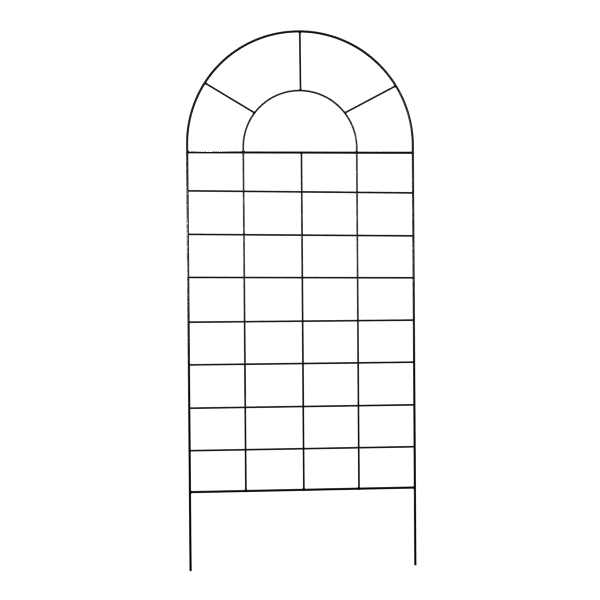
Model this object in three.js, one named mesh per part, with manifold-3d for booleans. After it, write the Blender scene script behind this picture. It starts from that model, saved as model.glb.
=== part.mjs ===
// A flat garden trellis arch, made of straight and bent steel rods that are lapped and welded.
//
// Millimetres. +X runs across the panel, +Y away from its front, +Z up. The origin is at the
// soil line, midway between the two legs: z = 0 is the underside of the bottom rail.
//
// The panel has two layers. The front layer holds everything upright: the outer hoop, the inner
// hoop and the centre upright, whose backs all lie on one plane, with the spokes butted between
// the two hoops. The back layer holds everything level: two rails and the cross wires, lapped
// behind that plane and welded where they pass the front layer.

import * as THREE from "three";
import { mergeVertices } from "three/addons/utils/BufferGeometryUtils.js";
import Module from "manifold-3d";

// Rod stock
const FRAME_ROD_DIAMETER = 6.35; // outer hoop and rails
const WIRE_DIAMETER = 4.76; // inner hoop, centre upright, spokes and cross wires

// Panel
const OVERALL_WIDTH = 762; // over the outsides of the legs
const INNER_HOOP_SPACING = 380; // between the centre lines of the inner hoop's legs
const CROSS_WIRE_COUNT = 7;
const BOTTOM_ROW_HEIGHT = 138.4; // centre of the bottom rail to centre of the first cross wire
const MIDDLE_ROW_HEIGHT = 143.5; // between cross wires, where they are evenly spaced
const TOP_ROW_HEIGHT = 131.6; // last cross wire to top rail
const LEG_BELOW_RAIL = 261; // centre of the bottom rail to the tip of a leg

// Arches and spokes
const OUTER_ARCH_RISE = 25; // the outer arch starts this far above the top rail's centre line
const INNER_ARCH_RISE = 16; // and the inner arch this far above it
// A spoke's two ends, on the outer arch and on the inner arch, in degrees up from the right about
// each arch's own centre. The side spokes were set by eye, about a degree apart.
const SPOKE_ANGLES = {
  left: [147.25, 142.95],
  centre: [90.1, 89.3],
  right: [31.75, 37.5],
};

// Fit
const CLEARANCE = 0.3; // between pieces that touch on the real panel
const SPOKE_END_GAP = 0.8; // between a spoke's sheared end and the hoop that it is welded to
const ROD_END_INSET = 1; // a wire's end stops this far short of the far side of what it laps
const END_CHAMFER = 0.5; // on the sheared ends of the straight rods

// Hand fitting: how far pieces lie off their even places, as the welder left them
const TOP_RAIL_SHIFT = 1.5; // to the right, so that it stands proud of the frame there
const INNER_HOOP_SHIFT = -2; // to the left
const CENTRE_UPRIGHT_SHIFT = 2; // to the right
const CROSS_WIRE_LIFTS = [0, -1.8, -1, -2.4, 0, -1.2, 0]; // up, from the bottom wire
const CROSS_WIRE_HANGS = [0, 0, 0, 0, 0.46, 0.58, 0.56]; // degrees, right end below left end

// Weld beads: half lengths across, through and up the panel
const CROSSING_BEAD = new THREE.Vector3(6, 4, 6);
const END_BEAD = new THREE.Vector3(5, 4, 5);
const SPOKE_BEAD = new THREE.Vector3(5, 3.5, 4); // along the hoop, through, and along the spoke
const END_BEAD_SHIFT = 1.8; // an end bead sits this far in from the crossing, on the inner side

// Fineness
const ROD_SIDES = 16;
const OUTER_ARCH_STEPS = 48;
const INNER_ARCH_STEPS = 32;
const BEAD_SEGMENTS = 12;
const BEAD_RINGS = 8;

// Derived sizes and places
const FRAME_R = FRAME_ROD_DIAMETER / 2;
const WIRE_R = WIRE_DIAMETER / 2;
const LAP_PLANE_Y = FRAME_R;
const OUTER_HOOP_Y = 0;
const WIRE_FRONT_Y = LAP_PLANE_Y - WIRE_R;
const RAIL_Y = LAP_PLANE_Y + CLEARANCE + FRAME_R;
const CROSS_WIRE_Y = LAP_PLANE_Y + CLEARANCE + WIRE_R;
const JOINT_Y = LAP_PLANE_Y + CLEARANCE / 2;
const OUTER_R = OVERALL_WIDTH / 2 - FRAME_R;
const INNER_R = INNER_HOOP_SPACING / 2;
const BOTTOM_RAIL_Z = FRAME_R;
const FIRST_WIRE_Z = BOTTOM_RAIL_Z + BOTTOM_ROW_HEIGHT;
const LAST_WIRE_Z = FIRST_WIRE_Z + (CROSS_WIRE_COUNT - 1) * MIDDLE_ROW_HEIGHT;
const TOP_RAIL_Z = LAST_WIRE_Z + TOP_ROW_HEIGHT;
const LEG_TIP_Z = BOTTOM_RAIL_Z - LEG_BELOW_RAIL;
const OUTER_CENTRE_Z = TOP_RAIL_Z + OUTER_ARCH_RISE;
const INNER_CENTRE_Z = TOP_RAIL_Z + INNER_ARCH_RISE;
const OUTER_ARCH_CENTRE = new THREE.Vector3(0, WIRE_FRONT_Y, OUTER_CENTRE_Z); // in the spokes' plane
const INNER_ARCH_CENTRE = new THREE.Vector3(INNER_HOOP_SHIFT, WIRE_FRONT_Y, INNER_CENTRE_Z);
const UPRIGHT_FOOT_Z = BOTTOM_RAIL_Z - FRAME_R + ROD_END_INSET;
const UPRIGHT_HEAD_Z = TOP_RAIL_Z + FRAME_R - ROD_END_INSET;

const wasm = await Module();
wasm.setup();

const frameCoat = new THREE.MeshStandardMaterial({
  name: "black powder coat on the frame rod",
  color: 0x141516,
  roughness: 0.45,
  metalness: 0.1,
});
const wireCoat = new THREE.MeshStandardMaterial({
  name: "black powder coat on the wire",
  color: 0x17181a,
  roughness: 0.48,
  metalness: 0.1,
});
const weldCoat = new THREE.MeshStandardMaterial({
  name: "black powder coat over weld metal",
  color: 0x1b1c1e,
  roughness: 0.55,
  metalness: 0.1,
});

// The centre line of a hoop: up the left leg, over a half circle, and down the right leg. Each
// leg is one step of the path and the half circle is arcSteps equal ones.
class HoopPath extends THREE.Curve {
  constructor(radius, centreX, centreZ, footZ, y, arcSteps) {
    super();
    this.radius = radius;
    this.centreX = centreX;
    this.centreZ = centreZ;
    this.footZ = footZ;
    this.y = y;
    this.arcSteps = arcSteps;
    this.steps = arcSteps + 2;
  }

  // Where t falls: how far up the left leg, round the arc and down the right leg, each 0 to 1.
  stage(t) {
    const step = t * this.steps;
    return {
      up: THREE.MathUtils.clamp(step, 0, 1),
      round: THREE.MathUtils.clamp((step - 1) / this.arcSteps, 0, 1),
      down: THREE.MathUtils.clamp(step - 1 - this.arcSteps, 0, 1),
    };
  }

  getPoint(t, target = new THREE.Vector3()) {
    const { up, round, down } = this.stage(t);
    const angle = Math.PI * (1 - round);
    const legZ = this.footZ - this.centreZ;
    const alongLegs = legZ * (1 - up) + legZ * down;
    const x = this.centreX + this.radius * Math.cos(angle);
    const z = this.centreZ + this.radius * Math.sin(angle) + alongLegs;
    return target.set(x, this.y, z);
  }

  getTangent(t, target = new THREE.Vector3()) {
    const angle = Math.PI * (1 - this.stage(t).round);
    return target.set(Math.sin(angle), 0, -Math.cos(angle));
  }

  // Stations stay where the steps are, so that a long leg takes no more of them than it needs.
  getUtoTmapping(u) {
    return u;
  }
}

function hoopGeometry(path, radius) {
  const section = new THREE.Shape().absarc(0, 0, radius, 0, 2 * Math.PI, false);
  return new THREE.ExtrudeGeometry(section, {
    steps: path.steps,
    curveSegments: ROD_SIDES / 2,
    extrudePath: path,
  });
}

// A straight rod along +Y from the origin, with chamfered ends.
function straightGeometry(length, radius) {
  const profile = [
    new THREE.Vector2(0, 0),
    new THREE.Vector2(radius - END_CHAMFER, 0),
    new THREE.Vector2(radius, END_CHAMFER),
    new THREE.Vector2(radius, length - END_CHAMFER),
    new THREE.Vector2(radius - END_CHAMFER, length),
    new THREE.Vector2(0, length),
  ];
  return new THREE.LatheGeometry(profile, ROD_SIDES);
}

function hoop(name, path, radius, material) {
  return { name, material, mesh: (grow) => new THREE.Mesh(hoopGeometry(path, radius + grow)) };
}

function straight(name, start, end, radius, material) {
  const direction = end.clone().sub(start).normalize();
  const length = start.distanceTo(end);
  const mesh = (grow) => {
    const rod = new THREE.Mesh(straightGeometry(length + 2 * grow, radius + grow));
    rod.quaternion.setFromUnitVectors(new THREE.Vector3(0, 1, 0), direction);
    rod.position.copy(start).addScaledVector(direction, -grow);
    return rod;
  };
  return { name, material, mesh };
}

// A level rod of the back layer, reaching its half length to each side of its centre. It may hang
// a few tenths of a degree to the right.
function level(name, centre, halfLength, radius, material, hang = 0) {
  const angle = THREE.MathUtils.degToRad(hang);
  const reach = new THREE.Vector3(Math.cos(angle), 0, -Math.sin(angle)).multiplyScalar(halfLength);
  return straight(name, centre.clone().sub(reach), centre.clone().add(reach), radius, material);
}

function onArch(centre, radius, degrees) {
  const angle = THREE.MathUtils.degToRad(degrees);
  const reach = new THREE.Vector3(Math.cos(angle), 0, Math.sin(angle)).multiplyScalar(radius);
  return centre.clone().add(reach);
}

function spoke(side) {
  const [outerAngle, innerAngle] = SPOKE_ANGLES[side];
  const outerReach = OUTER_R - FRAME_R - SPOKE_END_GAP;
  const innerReach = INNER_R + WIRE_R + SPOKE_END_GAP;
  const start = onArch(OUTER_ARCH_CENTRE, outerReach, outerAngle);
  const end = onArch(INNER_ARCH_CENTRE, innerReach, innerAngle);
  return straight(`spoke_${side}`, start, end, WIRE_R, wireCoat);
}

function rods() {
  const outerPath = new HoopPath(
    OUTER_R, 0, OUTER_CENTRE_Z, LEG_TIP_Z, OUTER_HOOP_Y, OUTER_ARCH_STEPS,
  );
  const innerPath = new HoopPath(
    INNER_R, INNER_HOOP_SHIFT, INNER_CENTRE_Z, UPRIGHT_FOOT_Z, WIRE_FRONT_Y, INNER_ARCH_STEPS,
  );
  const uprightFoot = new THREE.Vector3(CENTRE_UPRIGHT_SHIFT, WIRE_FRONT_Y, UPRIGHT_FOOT_Z);
  const uprightHead = new THREE.Vector3(CENTRE_UPRIGHT_SHIFT, WIRE_FRONT_Y, UPRIGHT_HEAD_Z);
  const topRailCentre = new THREE.Vector3(TOP_RAIL_SHIFT, RAIL_Y, TOP_RAIL_Z);
  const bottomRailCentre = new THREE.Vector3(0, RAIL_Y, BOTTOM_RAIL_Z);
  const railHalf = OVERALL_WIDTH / 2;
  const wireHalf = OVERALL_WIDTH / 2 - ROD_END_INSET;
  const made = [
    hoop("outer_hoop", outerPath, FRAME_R, frameCoat),
    hoop("inner_hoop", innerPath, WIRE_R, wireCoat),
    straight("centre_upright", uprightFoot, uprightHead, WIRE_R, wireCoat),
    level("top_rail", topRailCentre, railHalf, FRAME_R, frameCoat),
    level("bottom_rail", bottomRailCentre, railHalf, FRAME_R, frameCoat),
  ];
  for (let row = 0; row < CROSS_WIRE_COUNT; row++) {
    const z = FIRST_WIRE_Z + row * MIDDLE_ROW_HEIGHT + CROSS_WIRE_LIFTS[row];
    const centre = new THREE.Vector3(0, CROSS_WIRE_Y, z);
    const name = `cross_wire_${row + 1}`;
    made.push(level(name, centre, wireHalf, WIRE_R, wireCoat, CROSS_WIRE_HANGS[row]));
  }
  for (const side of Object.keys(SPOKE_ANGLES)) {
    made.push(spoke(side));
  }
  return new Map(made.map((rod) => [rod.name, rod]));
}

// Each bead says where it lies, how large it is, how far it is turned in the panel's plane, and
// which two rods it joins.
function railBeads(rail, z, inward, wireBeadSize, wireBeadShift) {
  const made = [];
  for (const [side, sign] of [["left", -1], ["right", 1]]) {
    made.push({
      name: `weld_${rail}_to_outer_hoop_${side}`,
      centre: new THREE.Vector3(sign * (OUTER_R - END_BEAD_SHIFT), JOINT_Y, z),
      size: END_BEAD,
      turn: 0,
      joins: ["outer_hoop", rail],
    });
    made.push({
      name: `weld_${rail}_to_inner_hoop_${side}`,
      centre: new THREE.Vector3(INNER_HOOP_SHIFT + sign * INNER_R, JOINT_Y, z + wireBeadShift),
      size: wireBeadSize,
      turn: 0,
      joins: ["inner_hoop", rail],
    });
  }
  made.push({
    name: `weld_${rail}_to_centre_upright`,
    centre: new THREE.Vector3(CENTRE_UPRIGHT_SHIFT, JOINT_Y, z + inward * END_BEAD_SHIFT),
    size: END_BEAD,
    turn: 0,
    joins: ["centre_upright", rail],
  });
  return made;
}

function spokeBeads(side) {
  const [outerAngle, innerAngle] = SPOKE_ANGLES[side];
  return [
    {
      name: `weld_spoke_${side}_to_outer_hoop`,
      centre: onArch(OUTER_ARCH_CENTRE, OUTER_R - FRAME_R, outerAngle),
      size: SPOKE_BEAD,
      turn: 90 - outerAngle,
      joins: ["outer_hoop", `spoke_${side}`],
    },
    {
      name: `weld_spoke_${side}_to_inner_hoop`,
      centre: onArch(INNER_ARCH_CENTRE, INNER_R + WIRE_R, innerAngle),
      size: SPOKE_BEAD,
      turn: 90 - innerAngle,
      joins: ["inner_hoop", `spoke_${side}`],
    },
  ];
}

function beads() {
  return [
    ...railBeads("top_rail", TOP_RAIL_Z, -1, CROSSING_BEAD, 0),
    ...railBeads("bottom_rail", BOTTOM_RAIL_Z, 1, END_BEAD, END_BEAD_SHIFT),
    ...Object.keys(SPOKE_ANGLES).flatMap(spokeBeads),
  ];
}

// A mesh, where it stands, as a manifold solid.
function solidOf(mesh) {
  mesh.updateMatrix();
  const placed = mesh.geometry.clone().applyMatrix4(mesh.matrix);
  placed.deleteAttribute("normal");
  placed.deleteAttribute("uv");
  const merged = mergeVertices(placed, 1e-4);
  return new wasm.Manifold(
    new wasm.Mesh({
      numProp: 3,
      vertProperties: merged.attributes.position.array,
      triVerts: new Uint32Array(merged.index.array),
    }),
  );
}

function geometryOf(solid) {
  const { vertProperties, triVerts } = solid.getMesh();
  const geometry = new THREE.BufferGeometry();
  geometry.setAttribute("position", new THREE.BufferAttribute(vertProperties, 3));
  geometry.setIndex(new THREE.BufferAttribute(triVerts, 1));
  geometry.computeVertexNormals();
  return geometry;
}

// A bead is a flattened ball of weld metal round a joint, cut back clear of the rods it joins.
function beadMesh(bead, rodsByName) {
  const ball = new THREE.Mesh(new THREE.SphereGeometry(1, BEAD_SEGMENTS, BEAD_RINGS));
  ball.position.copy(bead.centre);
  ball.rotation.y = THREE.MathUtils.degToRad(bead.turn);
  ball.scale.copy(bead.size);
  let solid = solidOf(ball);
  for (const rod of bead.joins) {
    solid = solid.subtract(solidOf(rodsByName.get(rod).mesh(CLEARANCE)));
  }
  const mesh = new THREE.Mesh(geometryOf(solid), weldCoat);
  mesh.name = bead.name;
  return mesh;
}

const trellis = new THREE.Group();
trellis.name = "trellis_arch";

const rodGroup = new THREE.Group();
const rodsByName = rods();
for (const rod of rodsByName.values()) {
  const mesh = rod.mesh(0);
  mesh.name = rod.name;
  mesh.material = rod.material;
  rodGroup.add(mesh);
}

const weldGroup = new THREE.Group();
for (const bead of beads()) {
  weldGroup.add(beadMesh(bead, rodsByName));
}

trellis.add(rodGroup, weldGroup);

export default trellis;
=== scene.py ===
"""Looks for a flat garden trellis arch: swept rods, welds, black powder coat and a white studio.

Everything is in metres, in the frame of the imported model: +X across the panel, +Y away from its
front, +Z up, and the origin at the soil line between the legs. Rods and welds take their places
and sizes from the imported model's boxes.
"""

import sys
import logging
import math
from collections.abc import Iterable, Mapping, Sequence
from dataclasses import dataclass, field, replace
from enum import Enum
from typing import Any

import bpy
import numpy as np
from mathutils import Matrix, Vector


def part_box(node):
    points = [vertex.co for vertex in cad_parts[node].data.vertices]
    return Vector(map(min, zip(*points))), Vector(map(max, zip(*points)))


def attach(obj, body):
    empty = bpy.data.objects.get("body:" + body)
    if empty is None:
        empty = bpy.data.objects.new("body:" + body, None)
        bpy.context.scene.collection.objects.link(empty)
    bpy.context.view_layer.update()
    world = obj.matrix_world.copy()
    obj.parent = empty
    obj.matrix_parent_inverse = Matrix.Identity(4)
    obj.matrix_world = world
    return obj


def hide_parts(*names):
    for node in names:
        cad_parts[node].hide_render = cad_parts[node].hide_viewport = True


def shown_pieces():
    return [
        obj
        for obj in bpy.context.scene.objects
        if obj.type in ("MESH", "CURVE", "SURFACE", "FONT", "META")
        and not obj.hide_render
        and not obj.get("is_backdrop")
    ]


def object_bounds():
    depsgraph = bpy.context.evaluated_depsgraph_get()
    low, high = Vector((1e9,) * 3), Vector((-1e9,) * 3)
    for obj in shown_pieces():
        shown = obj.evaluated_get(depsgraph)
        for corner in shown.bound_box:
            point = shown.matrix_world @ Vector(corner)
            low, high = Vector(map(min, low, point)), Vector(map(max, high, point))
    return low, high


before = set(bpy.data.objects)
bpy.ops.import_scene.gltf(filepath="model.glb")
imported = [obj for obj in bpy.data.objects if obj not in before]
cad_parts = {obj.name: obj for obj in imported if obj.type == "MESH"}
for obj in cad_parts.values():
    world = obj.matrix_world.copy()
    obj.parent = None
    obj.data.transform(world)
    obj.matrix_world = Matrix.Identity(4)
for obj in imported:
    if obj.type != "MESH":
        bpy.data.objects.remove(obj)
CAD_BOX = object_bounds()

LOG = logging.getLogger("trellis")
MM = 0.001
BODY = "root"
MICROMETRE_DECIMALS = 6  # of a length in metres


class Slot(Enum):
    """The material slots that the finishes belong to."""

    FRAME = "frame_powder_coat"
    WIRE = "wire_powder_coat"
    WELD = "weld_powder_coat"


def linear_colour(hex_code: str) -> tuple[float, float, float, float]:
    """Turns an sRGB hex colour to linear.

    Args:
        hex_code: The colour, as "#rrggbb".

    Returns:
        Red, green, blue and an alpha of 1.
    """
    channels = [int(hex_code[i : i + 2], 16) / 255 for i in (1, 3, 5)]
    red, green, blue = (c / 12.92 if c <= 0.04045 else ((c + 0.055) / 1.055) ** 2.4 for c in channels)
    return red, green, blue, 1.0


def add_node(
    tree: bpy.types.NodeTree,
    kind: str,
    inputs: Mapping[str | int, Any] | None = None,
    **settings: Any,
) -> bpy.types.Node:
    """Adds a node with its settings, its values and its links.

    Args:
        tree: The tree that the node goes into.
        kind: The node's type, as Blender names it.
        inputs: A value or an output socket for each input, by the input's name or index.
        settings: The node's own settings.

    Returns:
        The new node.
    """
    node = tree.nodes.new(kind)
    for name, value in settings.items():
        setattr(node, name, value)
    for name, value in (inputs or {}).items():
        if isinstance(value, bpy.types.NodeSocket):
            tree.links.new(value, node.inputs[name])
        else:
            node.inputs[name].default_value = value
    return node


# ---- Finishes ----------------------------------------------------------------------------------


@dataclass(frozen=True)
class PowderCoat:
    """Black polyester powder coat, sprayed on dry and baked on steel.

    The powder melts to a film about 0.1 mm thick. To the eye it is a semi-gloss black with the
    faint orange peel of the melted grains. It is glossier where the film ran thick and duller
    where it is thin, so that a highlight along a rod comes and goes.
    """

    name: str
    slot: Slot
    film: str = "#0d0e0f"  # the film's own black
    scuffed: str = "#18191b"  # where handling has left it a shade lighter
    gloss: float = 0.26  # roughness where the film is thick
    dull: float = 0.46  # and where it is thin
    patch_mm: float = 38.0  # length of a glossy or dull patch
    patch_detail: float = 2.0
    patch_low: float = 0.38  # a patch's noise at which the film is at its glossiest
    patch_high: float = 0.62  # and at which it is at its dullest
    scuff_share: float = 0.4  # a scuff's length, as a share of a patch's
    scuff_detail: float = 4.0
    scuff_start: float = 0.45  # a scuff's noise at which it starts to show
    scuff_full: float = 0.75  # and at which it shows in full
    peel_mm: float = 1.6  # from crest to crest of the orange peel
    peel_height_mm: float = 0.006
    grain_mm: float = 0.45  # matting grains, drawn coarser than real ones so that they show
    grain_height_mm: float = 0.001
    relief_detail: float = 1.0
    ior: float = 1.5

    def build(self) -> bpy.types.Material:
        """Builds the material's nodes and returns the material."""
        material = bpy.data.materials.new(self.name)
        material.use_nodes = True
        tree = material.node_tree
        tree.nodes.clear()
        patches = self._lumps(tree, self.patch_mm, self.patch_detail)
        scuffs = self._lumps(tree, self.scuff_share * self.patch_mm, self.scuff_detail)
        roughness = add_node(
            tree,
            "ShaderNodeMapRange",
            {
                "Value": patches,
                "From Min": self.patch_low,
                "From Max": self.patch_high,
                "To Min": self.gloss,
                "To Max": self.dull,
            },
        )
        colour = add_node(tree, "ShaderNodeValToRGB", {"Fac": scuffs})
        thick, thin = colour.color_ramp.elements
        thick.position = self.scuff_start
        thick.color = linear_colour(self.film)
        thin.position = self.scuff_full
        thin.color = linear_colour(self.scuffed)
        shader = add_node(
            tree,
            "ShaderNodeBsdfPrincipled",
            {
                "Base Color": colour.outputs["Color"],
                "Roughness": roughness.outputs["Result"],
                "IOR": self.ior,
                "Normal": self._relief(tree),
            },
        )
        add_node(tree, "ShaderNodeOutputMaterial", {"Surface": shader.outputs["BSDF"]})
        return material

    def _lumps(
        self, tree: bpy.types.NodeTree, length_mm: float, detail: float
    ) -> bpy.types.NodeSocket:
        """Adds a noise on the piece's own coordinates.

        Args:
            tree: The material's tree.
            length_mm: The length of one lump.
            detail: How much finer noise is laid over it.

        Returns:
            The noise's output, from 0 to 1.
        """
        place = add_node(tree, "ShaderNodeTexCoord").outputs["Object"]
        sizes = {"Vector": place, "Scale": 1 / (length_mm * MM), "Detail": detail}
        return add_node(tree, "ShaderNodeTexNoise", sizes).outputs["Fac"]

    def _relief(self, tree: bpy.types.NodeTree) -> bpy.types.NodeSocket:
        """Adds the matting grains and the orange peel over them.

        Args:
            tree: The material's tree.

        Returns:
            The bumped normal.
        """
        normal = None
        for length_mm, height_mm in (
            (self.grain_mm, self.grain_height_mm),
            (self.peel_mm, self.peel_height_mm),
        ):
            height = self._lumps(tree, length_mm, self.relief_detail)
            inputs = {"Distance": height_mm * MM, "Height": height}
            if normal is not None:
                inputs["Normal"] = normal
            normal = add_node(tree, "ShaderNodeBump", inputs).outputs["Normal"]
        return normal


FRAME_COAT = PowderCoat("semi_gloss_black_powder_coat_on_rod", Slot.FRAME, ior=1.46)
STRAIGHT_WIRE_COAT = PowderCoat(
    "semi_gloss_black_powder_coat_on_straight_wire",
    Slot.WIRE,
    gloss=0.28,
    dull=0.48,
    patch_mm=30.0,
    peel_mm=1.3,
    ior=1.44,
)
# The inner hoop shows brighter streaks than the straight wires do.
BENT_WIRE_COAT = replace(STRAIGHT_WIRE_COAT, name="bright_black_powder_coat_on_bent_wire", ior=1.6)
WELD_COAT = PowderCoat(
    "black_powder_coat_over_weld_metal",
    Slot.WELD,
    scuffed="#1c1d1f",
    gloss=0.34,
    dull=0.55,
    patch_mm=4.0,
    peel_mm=0.9,
    peel_height_mm=0.02,
)


class Paintbox:
    """Builds each finish once and hands it out."""

    def __init__(self) -> None:
        """Starts with no finish built."""
        self._built: dict[str, bpy.types.Material] = {}

    def get(self, finish: PowderCoat) -> bpy.types.Material:
        """Gives the finish's material.

        Args:
            finish: The finish.

        Returns:
            The material, built at its first use.
        """
        if finish.name not in self._built:
            self._built[finish.name] = finish.build()
        return self._built[finish.name]


# ---- Geometry Nodes ----------------------------------------------------------------------------


class ShapeTree:
    """A Geometry Nodes tree with named inputs, ending in Realize Instances and Set Material."""

    def __init__(self, name: str, sizes: Mapping[str, str]) -> None:
        """Starts the tree.

        Args:
            name: The tree's name.
            sizes: The kind of each named input: "Float" or "Int".
        """
        self.tree = bpy.data.node_groups.new(name, "GeometryNodeTree")
        kinds = {"Geometry": "Geometry", **sizes, "Material": "Material"}
        self.identifiers: dict[str, str] = {}
        for label, kind in kinds.items():
            socket = self.tree.interface.new_socket(
                label, in_out="INPUT", socket_type=f"NodeSocket{kind}"
            )
            self.identifiers[label] = socket.identifier
        self.tree.interface.new_socket(
            "Geometry", in_out="OUTPUT", socket_type="NodeSocketGeometry"
        )
        self._start = add_node(self.tree, "NodeGroupInput")

    def size(self, label: str) -> bpy.types.NodeSocket:
        """Returns the tree's own input of that name."""
        return self._start.outputs[label]

    def add(
        self, kind: str, inputs: Mapping[str | int, Any] | None = None, **settings: Any
    ) -> bpy.types.Node:
        """Adds a node to this tree, as add_node does."""
        return add_node(self.tree, kind, inputs, **settings)

    def calculate(self, operation: str, *values: Any, clamp: bool = False) -> bpy.types.NodeSocket:
        """Adds one sum on numbers.

        Args:
            operation: Blender's name for the sum.
            values: Numbers or sockets, in order.
            clamp: Whether the result is kept from 0 to 1.

        Returns:
            The result.
        """
        inputs = dict(enumerate(values))
        node = self.add("ShaderNodeMath", inputs, operation=operation, use_clamp=clamp)
        return node.outputs[0]

    def ruffle(
        self, geometry: bpy.types.NodeSocket, height: Any, length: Any, seed: Any
    ) -> bpy.types.NodeSocket:
        """Moves a surface in and out along its normals by a smooth noise.

        Args:
            geometry: The surface.
            height: How far it moves, in each direction.
            length: How long one ruffle is.
            seed: Which noise it is.

        Returns:
            The moved surface.
        """
        scale = self.calculate("DIVIDE", 1.0, length)
        noise = self.add(
            "ShaderNodeTexNoise", {"W": seed, "Scale": scale, "Detail": 0.0}, noise_dimensions="4D"
        )
        centred = self.calculate("MULTIPLY_ADD", noise.outputs["Fac"], 2.0, -1.0)
        amount = self.calculate("MULTIPLY", centred, height)
        normal = self.add("GeometryNodeInputNormal").outputs["Normal"]
        offset = self.add("ShaderNodeVectorMath", {0: normal, "Scale": amount}, operation="SCALE")
        return self.add(
            "GeometryNodeSetPosition", {"Geometry": geometry, "Offset": offset.outputs["Vector"]}
        ).outputs["Geometry"]

    def finish(self, geometry: bpy.types.NodeSocket) -> None:
        """Ends the tree: smooth shading, Realize Instances and Set Material.

        Args:
            geometry: The finished shape.
        """
        smooth = self.add("GeometryNodeSetShadeSmooth", {"Geometry": geometry})
        real = self.add("GeometryNodeRealizeInstances", {"Geometry": smooth.outputs["Geometry"]})
        dressed = self.add(
            "GeometryNodeSetMaterial",
            {"Geometry": real.outputs["Geometry"], "Material": self.size("Material")},
        )
        self.add("NodeGroupOutput", {"Geometry": dressed.outputs["Geometry"]})

    def make(self, name: str, start: bpy.types.Mesh, values: Mapping[str, Any]) -> bpy.types.Object:
        """Runs the tree on a mesh and keeps its result as a plain mesh.

        Args:
            name: The new piece's name.
            start: The mesh that the tree starts from.
            values: A value for each named input.

        Returns:
            The piece, with no modifier left on it.
        """
        piece = bpy.data.objects.new(name, start)
        bpy.context.scene.collection.objects.link(piece)
        modifier = piece.modifiers.new(name, "NODES")
        modifier.node_group = self.tree
        for label, value in values.items():
            modifier[self.identifiers[label]] = value
        evaluated = piece.evaluated_get(bpy.context.evaluated_depsgraph_get())
        result = bpy.data.meshes.new_from_object(evaluated)
        piece.modifiers.clear()
        piece.data = result
        result.name = name
        bpy.data.meshes.remove(start)
        return piece


def rod_tree() -> ShapeTree:
    """Builds the tree that sweeps a round rod along a line of points, with rounded ends.

    Returns:
        The tree.
    """
    tree = ShapeTree(
        "swept_rod",
        {
            "Rod Radius": "Float",
            "End Rounding": "Float",
            "Sides": "Int",
            "Coat Ripple Height": "Float",
            "Coat Ripple Length": "Float",
            "Seed": "Float",
        },
    )
    line = tree.add("GeometryNodeMeshToCurve", {"Mesh": tree.size("Geometry")}).outputs["Curve"]
    from_start = tree.add("GeometryNodeSplineParameter").outputs["Length"]
    whole = tree.add("GeometryNodeSplineLength").outputs["Length"]
    from_end = tree.calculate("SUBTRACT", whole, from_start)
    nearest = tree.calculate("MINIMUM", from_start, from_end)
    inside = tree.calculate("DIVIDE", nearest, tree.size("End Rounding"), clamp=True)
    outside = tree.calculate("SUBTRACT", 1.0, inside)
    squared = tree.calculate("POWER", outside, 2.0)
    dome = tree.calculate("SQRT", tree.calculate("SUBTRACT", 1.0, squared))
    share_lost = tree.calculate("SUBTRACT", 1.0, dome)
    lost = tree.calculate("MULTIPLY", share_lost, tree.size("End Rounding"))
    full = tree.calculate("SUBTRACT", tree.size("Rod Radius"), tree.size("Coat Ripple Height"))
    ring = tree.add(
        "GeometryNodeCurvePrimitiveCircle", {"Resolution": tree.size("Sides"), "Radius": 1.0}
    )
    swept = tree.add(
        "GeometryNodeCurveToMesh",
        {
            "Curve": line,
            "Profile Curve": ring.outputs["Curve"],
            "Scale": tree.calculate("SUBTRACT", full, lost),
            "Fill Caps": True,
        },
    )
    rippled = tree.ruffle(
        swept.outputs["Mesh"],
        tree.size("Coat Ripple Height"),
        tree.size("Coat Ripple Length"),
        tree.size("Seed"),
    )
    tree.finish(rippled)
    return tree


def collar_tree() -> ShapeTree:
    """Builds the tree that puts a squeezed-out collar of metal at each point of a mesh.

    Returns:
        The tree.
    """
    tree = ShapeTree(
        "spot_weld_collars",
        {
            "Collar Segments": "Int",
            "Collar Rings": "Int",
            "Collar Radius": "Float",
            "Collar Half Thickness": "Float",
            "Size Spread": "Float",
            "Lump Height": "Float",
            "Lump Length": "Float",
            "Seed": "Int",
        },
    )
    ball = tree.add(
        "GeometryNodeMeshUVSphere",
        {
            "Segments": tree.size("Collar Segments"),
            "Rings": tree.size("Collar Rings"),
            "Radius": 1.0,
        },
    )
    shape = tree.add(
        "ShaderNodeCombineXYZ",
        {
            "X": tree.size("Collar Radius"),
            "Y": tree.size("Collar Radius"),
            "Z": tree.size("Collar Half Thickness"),
        },
    )
    flat = tree.add(
        "GeometryNodeTransform", {"Geometry": ball.outputs["Mesh"], "Scale": shape.outputs["Vector"]}
    )
    smallest = tree.calculate("SUBTRACT", 1.0, tree.size("Size Spread"))
    scale = tree.add(
        "FunctionNodeRandomValue", {"Min": smallest, "Max": 1.0, "Seed": tree.size("Seed")}
    )
    spin = tree.add(
        "FunctionNodeRandomValue", {"Min": 0.0, "Max": math.tau, "Seed": tree.size("Seed")}
    )
    # A quarter turn about X lays the collar's thin way along +Y, and the spin is about that axis.
    lay = tree.add(
        "ShaderNodeCombineXYZ", {"X": math.pi / 2, "Y": spin.outputs["Value"], "Z": 0.0}
    )
    placed = tree.add(
        "GeometryNodeInstanceOnPoints",
        {
            "Points": tree.size("Geometry"),
            "Instance": flat.outputs["Geometry"],
            "Rotation": lay.outputs["Vector"],
            "Scale": scale.outputs["Value"],
        },
    )
    real = tree.add("GeometryNodeRealizeInstances", {"Geometry": placed.outputs["Instances"]})
    lumpy = tree.ruffle(
        real.outputs["Geometry"], tree.size("Lump Height"), tree.size("Lump Length"), tree.size("Seed")
    )
    tree.finish(lumpy)
    return tree


# ---- Pieces ------------------------------------------------------------------------------------


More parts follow.
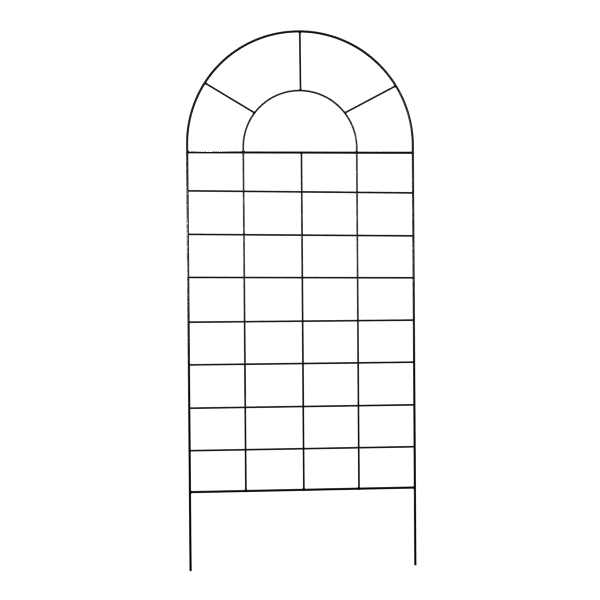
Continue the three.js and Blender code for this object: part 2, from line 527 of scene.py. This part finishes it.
def hand_in(piece: bpy.types.Object, finish: PowderCoat, *nodes: str) -> bpy.types.Object:
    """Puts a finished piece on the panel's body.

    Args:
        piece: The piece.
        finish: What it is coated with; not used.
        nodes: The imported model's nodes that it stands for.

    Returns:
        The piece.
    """
    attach(piece, BODY)
    if nodes:
        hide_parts(*nodes)
    LOG.info("%s: %d faces", piece.name, len(piece.data.polygons))
    return piece


def line_mesh(name: str, points: Sequence[Vector]) -> bpy.types.Mesh:
    """Makes a mesh of one line.

    Args:
        name: The mesh's name.
        points: What the line runs through, in order.

    Returns:
        The mesh.
    """
    mesh = bpy.data.meshes.new(name)
    mesh.from_pydata([tuple(p) for p in points], [(i, i + 1) for i in range(len(points) - 1)], [])
    return mesh


@dataclass
class RodStock:
    """How any rod on the panel is cut, swept and coated."""

    spacing: float = 4 * MM  # between the rings of a straight stretch
    rounding: float = 0.7 * MM  # of a sheared end, under its coat
    dome_rings: tuple[float, ...] = (0.0, 0.1, 0.3, 0.6, 1.0)  # as shares of the rounding
    sides: int = 24
    ripple_height: float = 0.03 * MM
    ripple_length: float = 11 * MM
    tree: ShapeTree = field(default_factory=rod_tree)

    def stations(self, length: float) -> list[float]:
        """Gives the places of the rings along a rod, closer together at its ends.

        Args:
            length: The rod's length.

        Returns:
            How far each ring is from the rod's start.
        """
        start = [self.ripple_height + share * self.rounding for share in self.dome_rings]
        count = max(2, round((length - 2 * self.rounding) / self.spacing))
        middle = np.linspace(start[-1], length - start[-1], count + 1)[1:-1]
        return [*start, *middle.tolist(), *(length - s for s in reversed(start))]

    def sweep(
        self,
        node: str,
        radius: float,
        points: Sequence[Vector],
        finish: PowderCoat,
        paints: Paintbox,
        seed: float,
    ) -> bpy.types.Object:
        """Sweeps the rod that stands for a node.

        Args:
            node: The node's name.
            radius: The rod's radius over its coat.
            points: The centre line.
            finish: What the rod is coated with.
            paints: Where the finish comes from.
            seed: Which ripples the coat has.

        Returns:
            The rod.
        """
        piece = self.tree.make(
            f"{node}_rod",
            line_mesh(node, points),
            {
                "Rod Radius": radius,
                "End Rounding": self.rounding,
                "Sides": self.sides,
                "Coat Ripple Height": self.ripple_height,
                "Coat Ripple Length": self.ripple_length,
                "Seed": seed,
                "Material": paints.get(finish),
            },
        )
        return hand_in(piece, finish, node)


@dataclass
class StraightRod:
    """A straight rod at any slant, read from its node's vertices."""

    node: str
    finish: PowderCoat
    end_slice: float = 0.25 * MM  # how deep into the chamfer a vertex still counts as the end's

    def __post_init__(self) -> None:
        """Reads the rod's radius and the centres of its two end faces."""
        places = np.array([v.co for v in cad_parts[self.node].data.vertices])
        places = np.unique(places.round(MICROMETRE_DECIMALS), axis=0)
        middle = (places.min(axis=0) + places.max(axis=0)) / 2
        way = np.linalg.svd(places - middle, full_matrices=False)[2][0]
        # Centre lines run from left to right, and an upright's from its foot to its head.
        way *= np.sign(way[0]) if abs(way[0]) > abs(way[2]) else np.sign(way[2])
        along = (places - middle) @ way
        self.start = Vector(places[along < along.min() + self.end_slice].mean(axis=0))
        self.end = Vector(places[along > along.max() - self.end_slice].mean(axis=0))
        low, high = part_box(self.node)
        self.radius = (high.y - low.y) / 2

    def points(self, stock: RodStock) -> list[Vector]:
        """Gives the centre line's points."""
        length = (self.end - self.start).length
        return [self.start.lerp(self.end, s / length) for s in stock.stations(length)]

    def at(self, x: float) -> Vector:
        """Gives the point of a level rod's centre line at that x."""
        return self.start.lerp(self.end, (x - self.start.x) / (self.end.x - self.start.x))


@dataclass
class Hoop:
    """A rod bent over a half circle with two straight legs, read from its node's box."""

    node: str
    finish: PowderCoat

    def __post_init__(self) -> None:
        """Reads the rod's radius, the arch's radius and centre, and the height of the feet."""
        low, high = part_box(self.node)
        self.radius = (high.y - low.y) / 2
        self.arch_radius = (high.x - low.x) / 2 - self.radius
        self.centre = Vector(((low.x + high.x) / 2, (low.y + high.y) / 2, 0.0))
        self.centre.z = high.z - self.radius - self.arch_radius
        self.leg = self.centre.z - low.z

    def at(self, along: float) -> Vector:
        """Gives a point of the centre line.

        Args:
            along: How far the point is from the left foot along the rod.

        Returns:
            The point.
        """
        arc = math.pi * self.arch_radius
        turned = min(max((along - self.leg) / arc, 0.0), 1.0)
        angle = math.pi * (1 - turned)
        rise = min(0.0, along - self.leg) + min(0.0, self.leg + arc - along)
        return self.centre + Vector(
            (self.arch_radius * math.cos(angle), 0.0, self.arch_radius * math.sin(angle) + rise)
        )

    def points(self, stock: RodStock) -> list[Vector]:
        """Gives the centre line's points."""
        length = 2 * self.leg + math.pi * self.arch_radius
        return [self.at(s) for s in stock.stations(length)]


# ---- Welds -------------------------------------------------------------------------------------


@dataclass(frozen=True)
class Bar:
    """A round bar near a joint, as far as a weld is concerned."""

    point: np.ndarray
    way: np.ndarray
    radius: float
    starts_at_point: bool = False

    @classmethod
    def of(cls, point: Vector, way: Vector, radius: float, starts_at_point: bool = False) -> "Bar":
        """Makes a bar from vectors: through the point, or from the point on, in that direction."""
        return cls(np.array(point), np.array(way.normalized()), radius, starts_at_point)

    def distance(self, places: np.ndarray) -> np.ndarray:
        """Gives how far each place is outside the bar's surface.

        Args:
            places: The places, in rows of three.

        Returns:
            The distances, which are negative inside the bar.
        """
        offset = places - self.point
        along = offset @ self.way
        outside = np.linalg.norm(offset - along[..., None] * self.way, axis=-1) - self.radius
        return np.maximum(outside, -along) if self.starts_at_point else outside


def melt(first: np.ndarray, second: np.ndarray, reach: float) -> np.ndarray:
    """Joins two distances into one whose inner corner is filled with a smooth fillet.

    Args:
        first: Distances to one surface.
        second: Distances to the other.
        reach: How far from the corner the fillet starts.

    Returns:
        The joined distances.
    """
    share = np.clip(0.5 + 0.5 * (second - first) / reach, 0.0, 1.0)
    return second + (first - second) * share - reach * share * (1 - share)


def lumps(
    places: np.ndarray,
    length: float,
    seed: int,
    waves: int = 7,
    pitch_spread: tuple[float, float] = (0.7, 1.5),
) -> np.ndarray:
    """Gives a smooth random relief, as a sum of waves in random directions.

    Args:
        places: Where the relief is wanted, in rows of three.
        length: The usual length of a wave.
        seed: Which relief it is.
        waves: How many waves are added up.
        pitch_spread: A wave's shortest and longest length, as shares of the usual one.

    Returns:
        The relief, from about -1 to 1.
    """
    chance = np.random.default_rng(seed)
    total = np.zeros(places.shape[:-1])
    for _ in range(waves):
        way = chance.normal(size=3)
        way /= np.linalg.norm(way)
        pitch = length * chance.uniform(*pitch_spread)
        total += np.sin(math.tau * (places @ way) / pitch + chance.uniform(0, math.tau))
    return total / math.sqrt(waves)


@dataclass
class WeldBead:
    """One bead of weld metal round a joint of two bars.

    Its surface is the two bars' own, joined by a fillet and a small ball of metal, and cut off at
    an ellipsoid. Rays from its centre find that surface, so it is one closed skin. Away from the
    joint it dips just under the bars, which hide its edge.
    """

    name: str
    node: str
    centre: Vector
    half_sizes: tuple[float, float, float]
    bars: tuple[Bar, Bar]
    seed: int
    fillet: float
    turn: float = 0.0  # of the ellipsoid, in the panel's plane
    ball_share: float = 0.8  # of the half sizes
    ball_fillet: float = 1.2 * MM
    dip: float = 0.05 * MM
    lump_height: float = 0.16 * MM
    lump_length: float = 2.6 * MM
    segments: int = 48
    rings: int = 28
    steps: int = 48
    halvings: int = 12

    def build(self, paints: Paintbox) -> bpy.types.Object:
        """Builds the bead and puts it on the panel.

        Args:
            paints: Where its finish comes from.

        Returns:
            The bead.
        """
        mesh = bpy.data.meshes.new(self.name)
        ways = self._ways()
        radii = self._surface(ways)
        places = np.array(self.centre) + ways * radii[:, None]
        mesh.from_pydata(places.tolist(), [], self._faces())
        mesh.polygons.foreach_set("use_smooth", [True] * len(mesh.polygons))
        mesh.materials.append(paints.get(WELD_COAT))
        piece = bpy.data.objects.new(self.name, mesh)
        bpy.context.scene.collection.objects.link(piece)
        return hand_in(piece, WELD_COAT, self.node)

    def _ways(self) -> np.ndarray:
        """Gives the directions of a ball's vertices.

        Returns:
            The front pole, the rings and the back pole, in rows of three.
        """
        rows = [np.array([[0.0, -1.0, 0.0]])]
        around = np.linspace(0, math.tau, self.segments, endpoint=False)
        for ring in range(1, self.rings):
            tilt = math.pi * ring / self.rings
            rows.append(
                np.stack(
                    [
                        math.sin(tilt) * np.cos(around),
                        np.full(self.segments, -math.cos(tilt)),
                        math.sin(tilt) * np.sin(around),
                    ],
                    axis=1,
                )
            )
        rows.append(np.array([[0.0, 1.0, 0.0]]))
        return np.concatenate(rows)

    def _faces(self) -> list[tuple[int, ...]]:
        """Gives the ball's faces, which all point outwards.

        Returns:
            The vertices of each face.
        """
        count = self.segments
        last = 1 + (self.rings - 1) * count
        faces: list[tuple[int, ...]] = []
        for i in range(count):
            j = (i + 1) % count
            faces.append((0, 1 + i, 1 + j))
            for ring in range(self.rings - 2):
                a = 1 + ring * count
                b = a + count
                faces.append((a + i, b + i, b + j, a + j))
            faces.append((last, last - count + j, last - count + i))
        return faces

    def _surface(self, ways: np.ndarray) -> np.ndarray:
        """Finds the bead's surface.

        Args:
            ways: Directions from the bead's centre.

        Returns:
            How far the surface is from the centre in each direction.
        """
        turned = ways @ np.array(Matrix.Rotation(-self.turn, 3, "Y")).T
        limit = 1 / np.linalg.norm(turned / np.array(self.half_sizes), axis=1)
        inside = np.zeros(len(ways))
        outside = limit.copy()
        # March out to the first step that is outside the metal, then halve the last step.
        marched = np.zeros(len(ways), bool)
        for step in range(1, self.steps + 1):
            reach = limit * step / self.steps
            out = (self._depth(ways * reach[:, None]) > 0) & ~marched
            outside[out] = reach[out]
            marched |= out
            inside[~marched] = reach[~marched]
        for _ in range(self.halvings):
            middle = (inside + outside) / 2
            out = self._depth(ways * middle[:, None]) > 0
            outside = np.where(out & marched, middle, outside)
            inside = np.where(~out & marched, middle, inside)
        return np.where(marched, (inside + outside) / 2, limit)

    def _depth(self, offsets: np.ndarray) -> np.ndarray:
        """Measures how far places are outside the metal.

        Args:
            offsets: The places, from the bead's centre.

        Returns:
            The distances, which are negative inside the metal.
        """
        places = np.array(self.centre) + offsets
        first, second = (bar.distance(places) for bar in self.bars)
        joined = melt(first, second, self.fillet)
        turned = offsets @ np.array(Matrix.Rotation(-self.turn, 3, "Y")).T
        sizes = np.array(self.half_sizes) * self.ball_share
        ball = (np.linalg.norm(turned / sizes, axis=1) - 1) * sizes.min()
        metal = melt(joined, ball, self.ball_fillet)
        return metal + self.dip + self.lump_height * lumps(places, self.lump_length, self.seed)


# ---- Sub-assemblies ----------------------------------------------------------------------------


@dataclass
class FrameRods:
    """The heavy rods: the outer hoop with its two legs, and the two rails."""

    stock: RodStock
    seed: float = 3.0

    def __post_init__(self) -> None:
        """Reads the rods from the frame."""
        self.hoop = Hoop("outer_hoop", FRAME_COAT)
        self.rails = {name: StraightRod(name, FRAME_COAT) for name in ("top_rail", "bottom_rail")}

    def build(self, paints: Paintbox) -> None:
        """Sweeps the three rods.

        Args:
            paints: Where the finishes come from.
        """
        for number, rod in enumerate([self.hoop, *self.rails.values()]):
            self.stock.sweep(
                rod.node, rod.radius, rod.points(self.stock), rod.finish, paints, self.seed + number
            )


@dataclass
class WireGrid:
    """The thin wires: the inner hoop, the centre upright, the cross wires and the spokes."""

    stock: RodStock
    seed: float = 11.0

    def __post_init__(self) -> None:
        """Reads the wires from the frame."""
        names = sorted(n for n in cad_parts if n.startswith("cross_wire_"))
        self.hoop = Hoop("inner_hoop", BENT_WIRE_COAT)
        self.upright = StraightRod("centre_upright", STRAIGHT_WIRE_COAT)
        self.cross_wires = [StraightRod(name, STRAIGHT_WIRE_COAT) for name in names]
        sides = ("left", "centre", "right")
        self.spokes = [StraightRod(f"spoke_{side}", STRAIGHT_WIRE_COAT) for side in sides]

    def build(self, paints: Paintbox) -> None:
        """Sweeps every wire.

        Args:
            paints: Where the finishes come from.
        """
        wires = [self.hoop, self.upright, *self.cross_wires, *self.spokes]
        for number, wire in enumerate(wires):
            self.stock.sweep(
                wire.node, wire.radius, wire.points(self.stock), wire.finish, paints, self.seed + number
            )


@dataclass
class RailWelds:
    """The beads where the rails pass the hoops and the centre upright."""

    frame_rods: FrameRods
    grid: WireGrid
    depth: float = 4.0 * MM  # of a bead, to each side of the joint
    fillet: float = 8.0 * MM
    seed: int = 40

    def build(self, paints: Paintbox) -> None:
        """Builds a bead for each rail weld of the frame.

        Args:
            paints: Where the finishes come from.
        """
        outer, inner, upright = self.frame_rods.hoop, self.grid.hoop, self.grid.upright
        fronts = {"outer_hoop": outer, "inner_hoop": inner, "centre_upright": upright}
        nodes = sorted(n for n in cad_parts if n.startswith("weld_") and "rail" in n)
        for number, node in enumerate(nodes):
            rail = next(r for name, r in self.frame_rods.rails.items() if name in node)
            front = next(rod for name, rod in fronts.items() if name in node)
            low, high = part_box(node)
            centre = (low + high) / 2
            front_line = self._front_line(front, centre.x)
            centre.y = (front_line.y + front.radius + rail.start.y - rail.radius) / 2
            WeldBead(
                f"{node}_bead",
                node,
                centre,
                ((high.x - low.x) / 2, self.depth, (high.z - low.z) / 2),
                (
                    Bar.of(front_line, Vector((0, 0, 1)), front.radius),
                    Bar.of(rail.start, Vector((1, 0, 0)), rail.radius),
                ),
                self.seed + number,
                fillet=self.fillet,
            ).build(paints)

    def _front_line(self, front: Hoop | StraightRod, x: float) -> Vector:
        """Finds the upright stretch nearest to x.

        Args:
            front: The rod in front of the rail.
            x: Where the weld is.

        Returns:
            A point on the stretch's centre line.
        """
        if isinstance(front, StraightRod):
            return front.start
        return front.centre + Vector((math.copysign(front.arch_radius, x), 0, 0))


@dataclass
class SpokeWelds:
    """The small fillets round both ends of each spoke."""

    frame_rods: FrameRods
    grid: WireGrid
    half_sizes: tuple[float, float, float] = (5.0 * MM, 3.5 * MM, 4.0 * MM)
    fillet: float = 3.6 * MM
    seed: int = 70

    def build(self, paints: Paintbox) -> None:
        """Builds the two beads of each spoke.

        Args:
            paints: Where the finishes come from.
        """
        hoops = {"outer_hoop": (self.frame_rods.hoop, -1), "inner_hoop": (self.grid.hoop, 1)}
        for number, spoke in enumerate(self.grid.spokes):
            for end_number, (name, (hoop, side)) in enumerate(hoops.items()):
                middle = self.grid.hoop.centre
                tips = sorted((spoke.start, spoke.end), key=lambda tip: (tip - middle).length)
                near, far = tips if side > 0 else tips[::-1]
                radial = near - hoop.centre
                radial.y = 0
                radial.normalize()
                centre = hoop.centre + radial * (hoop.arch_radius + side * hoop.radius)
                centre.y = near.y
                tangent = Vector((radial.z, 0, -radial.x))
                node = f"weld_{spoke.node}_to_{name}"
                WeldBead(
                    f"{node}_bead",
                    node,
                    centre,
                    self.half_sizes,
                    (
                        Bar.of(hoop.centre + radial * hoop.arch_radius, tangent, hoop.radius),
                        Bar.of(centre, far - near, spoke.radius, starts_at_point=True),
                    ),
                    self.seed + 2 * number + end_number,
                    turn=math.atan2(radial.x, radial.z),
                    fillet=self.fillet,
                ).build(paints)


@dataclass
class SpotWelds:
    """The collars squeezed out where each cross wire is spot welded to the five upright stretches."""

    frame_rods: FrameRods
    grid: WireGrid
    radius: float = 3.3 * MM
    half_thickness: float = 1.25 * MM
    spread: float = 0.18
    lump_height: float = 0.12 * MM
    lump_length: float = 1.8 * MM
    segments: int = 24
    rings: int = 12
    seed: int = 5

    def build(self, paints: Paintbox) -> None:
        """Builds one piece of five collars for each cross wire.

        Args:
            paints: Where the finishes come from.
        """
        tree = collar_tree()
        for number, wire in enumerate(self.grid.cross_wires):
            name = f"spot_welds_{wire.node}"
            points = bpy.data.meshes.new(name)
            points.from_pydata(list(self._joints(wire)), [], [])
            piece = tree.make(
                name,
                points,
                {
                    "Collar Segments": self.segments,
                    "Collar Rings": self.rings,
                    "Collar Radius": self.radius,
                    "Collar Half Thickness": self.half_thickness,
                    "Size Spread": self.spread,
                    "Lump Height": self.lump_height,
                    "Lump Length": self.lump_length,
                    "Seed": self.seed + number,
                    "Material": paints.get(WELD_COAT),
                },
            )
            hand_in(piece, WELD_COAT)

    def _joints(self, wire: StraightRod) -> Iterable[tuple[float, float, float]]:
        """Finds where a wire touches the upright stretches.

        Args:
            wire: The cross wire.

        Yields:
            The middle of each joint.
        """
        outer, inner, upright = self.frame_rods.hoop, self.grid.hoop, self.grid.upright
        reach = outer.arch_radius
        inner_left, inner_right = (inner.centre.x + side * inner.arch_radius for side in (-1, 1))
        back = outer.centre.y + outer.radius
        for x in (-reach, inner_left, upright.start.x, inner_right, reach):
            yield x, (back + wire.start.y - wire.radius) / 2, wire.at(x).z


# ---- Studio ------------------------------------------------------------------------------------


@dataclass(frozen=True)
class Softbox:
    """A rectangular lamp with a diffuser, flagged off everything but the panel."""

    name: str
    place: tuple[float, float, float]
    aim: tuple[float, float, float]
    width: float
    height: float
    power: float  # in watts
    only: str = ""  # part of the names of the only pieces that it lights

    def build(self, pieces: Iterable[bpy.types.Object]) -> None:
        """Builds the lamp.

        Args:
            pieces: The pieces, of which it lights those that it may.
        """
        lamp = bpy.data.lights.new(self.name, "AREA")
        lamp.shape = "RECTANGLE"
        lamp.size = self.width
        lamp.size_y = self.height
        lamp.energy = self.power
        stand = bpy.data.objects.new(self.name, lamp)
        stand.location = self.place
        throw = Vector(self.aim) - Vector(self.place)
        stand.rotation_euler = throw.to_track_quat("-Z", "Y").to_euler()
        bpy.context.scene.collection.objects.link(stand)
        stand.visible_camera = False
        lit = bpy.data.collections.new(f"lit_by_{self.name}")
        for piece in pieces:
            if self.only in piece.name:
                lit.objects.link(piece)
        stand.light_linking.receiver_collection = lit


@dataclass
class Studio:
    """A white floor that runs into a white surround, softboxes and a camera."""

    camera_place: tuple[float, float, float] = (-230.6 * MM, -3336.9 * MM, 672.1 * MM)
    camera_aim: tuple[float, float, float] = (-6.4 * MM, 0.0, 640.6 * MM)
    camera_roll: float = math.radians(-0.41)
    lens_mm: float = 60.0
    sensor_mm: float = 36.0
    floor_radius: float = 60.0
    floor_sides: int = 96
    floor_colour: str = "#959595"
    floor_glow: float = 0.722  # which with the light that it scatters equals the surround's
    surround: float = 1.03  # just over white, so that noise doesn't show in it
    dark_side: float = 0.012  # what the black coat mirrors of the surround
    display_gamma: float = 0.336
    softboxes: tuple[Softbox, ...] = (
        Softbox("key_strip", (-2.6, -1.6, 1.12), (0.0, 0.0, 0.9), 3.4, 0.62, 140.0),
        Softbox("front_strip", (0.2, -3.7, 1.12), (0.0, 0.0, 0.9), 3.2, 0.62, 80.0),
        Softbox("fill_strip", (2.6, -1.6, 1.12), (0.0, 0.0, 0.9), 3.4, 0.62, 55.0),
        Softbox("right_shoulder_softbox", (1.65, -2.4, 2.6), (0.0, 0.0, 1.2), 1.2, 1.2, 130.0, "hoop"),
        Softbox("left_shoulder_softbox", (-1.8, -2.3, 2.4), (0.0, 0.0, 1.2), 1.2, 1.2, 55.0, "hoop"),
        Softbox("overhead_softbox", (-0.4, -1.0, 3.3), (0.0, 0.0, 0.6), 2.6, 3.4, 165.0),
        Softbox("left_rail_lamp", (-0.34, 0.1, 1.75), (-0.34, 0.0, 1.13), 0.12, 0.4, 10.0, "top_rail"),
        Softbox("right_rail_lamp", (0.29, 0.1, 1.75), (0.29, 0.0, 1.13), 0.1, 0.1, 1.0, "top_rail"),
        Softbox("left_leg_lamp", (-0.95, -0.7, 0.84), (-0.38, 0.0, 0.78), 0.4, 0.42, 37.0, "outer_hoop"),
        Softbox("rear_softbox", (0.0, 2.6, 3.0), (0.0, 0.0, 0.8), 1.6, 1.4, 36.0),
    )

    def build(self) -> None:
        """Builds the studio round the pieces that are already in the scene."""
        self._floor()
        self._surround()
        for softbox in self.softboxes:
            softbox.build(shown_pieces())
        self._camera()
        # This steep curve shows an even mix of black and white as middle grey, so that thin rods
        # keep their weight from far away.
        bpy.context.scene.view_settings.view_transform = "Standard"
        bpy.context.scene.view_settings.gamma = self.display_gamma

    def _floor(self) -> None:
        """Lays the floor, an opal sheet lit from below, at the height of the leg tips."""
        height = CAD_BOX[0].z
        around = [math.tau * i / self.floor_sides for i in range(self.floor_sides)]
        reach = self.floor_radius
        rim = [(reach * math.cos(a), reach * math.sin(a), height) for a in around]
        mesh = bpy.data.meshes.new("studio_floor")
        mesh.from_pydata(rim, [], [tuple(range(self.floor_sides))])
        # Most of its white is its own glow, so that it takes hardly any shadow.
        material = bpy.data.materials.new("backlit_opal_acrylic_sheet")
        material.use_nodes = True
        shader = material.node_tree.nodes["Principled BSDF"]
        shader.inputs["Base Color"].default_value = linear_colour(self.floor_colour)
        shader.inputs["Roughness"].default_value = 1.0
        shader.inputs["Specular IOR Level"].default_value = 0.0
        shader.inputs["Emission Color"].default_value = (1.0, 1.0, 1.0, 1.0)
        shader.inputs["Emission Strength"].default_value = self.floor_glow
        mesh.materials.append(material)
        floor = bpy.data.objects.new("studio_floor", mesh)
        # The black coat would mirror the floor as a grey haze, so the floor is flagged off it.
        floor.visible_glossy = False
        bpy.context.scene.collection.objects.link(floor)
        floor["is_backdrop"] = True

    def _surround(self) -> None:
        """Makes the surround: white to the eye and to matt surfaces, dark in a mirror."""
        world = bpy.data.worlds.new("white_surround")
        world.use_nodes = True
        tree = world.node_tree
        tree.nodes.clear()
        white = (1.0, 1.0, 1.0, 1.0)
        bright = add_node(
            tree, "ShaderNodeBackground", {"Color": white, "Strength": self.surround}
        )
        dark = add_node(
            tree, "ShaderNodeBackground", {"Color": white, "Strength": self.dark_side}
        )
        in_mirror = add_node(tree, "ShaderNodeLightPath").outputs["Is Glossy Ray"]
        mixed = add_node(
            tree,
            "ShaderNodeMixShader",
            {0: in_mirror, 1: bright.outputs["Background"], 2: dark.outputs["Background"]},
        )
        add_node(tree, "ShaderNodeOutputWorld", {"Surface": mixed.outputs["Shader"]})
        bpy.context.scene.world = world

    def _camera(self) -> None:
        """Sets up the camera in front of the panel, a little to its left."""
        data = bpy.data.cameras.new("camera")
        data.lens = self.lens_mm
        data.sensor_width = self.sensor_mm
        camera = bpy.data.objects.new("camera", data)
        forward = (Vector(self.camera_aim) - Vector(self.camera_place)).normalized()
        level = forward.cross(Vector((0, 0, 1))).normalized()
        upright = level.cross(forward)
        right = level * math.cos(self.camera_roll) + upright * math.sin(self.camera_roll)
        up = right.cross(forward)
        turn = Matrix((right, up, -forward)).transposed().to_4x4()
        camera.matrix_world = Matrix.Translation(self.camera_place) @ turn
        bpy.context.scene.collection.objects.link(camera)
        bpy.context.scene.camera = camera


def main() -> None:
    """Builds the rods, the welds and the studio, in that order."""
    logging.basicConfig(level=logging.INFO, format="%(name)s: %(message)s", stream=sys.stdout)
    paints = Paintbox()
    stock = RodStock()
    frame_rods = FrameRods(stock)
    grid = WireGrid(stock)
    frame_rods.build(paints)
    grid.build(paints)
    RailWelds(frame_rods, grid).build(paints)
    SpokeWelds(frame_rods, grid).build(paints)
    SpotWelds(frame_rods, grid).build(paints)
    Studio().build()


if __name__ == "__main__":
    main()
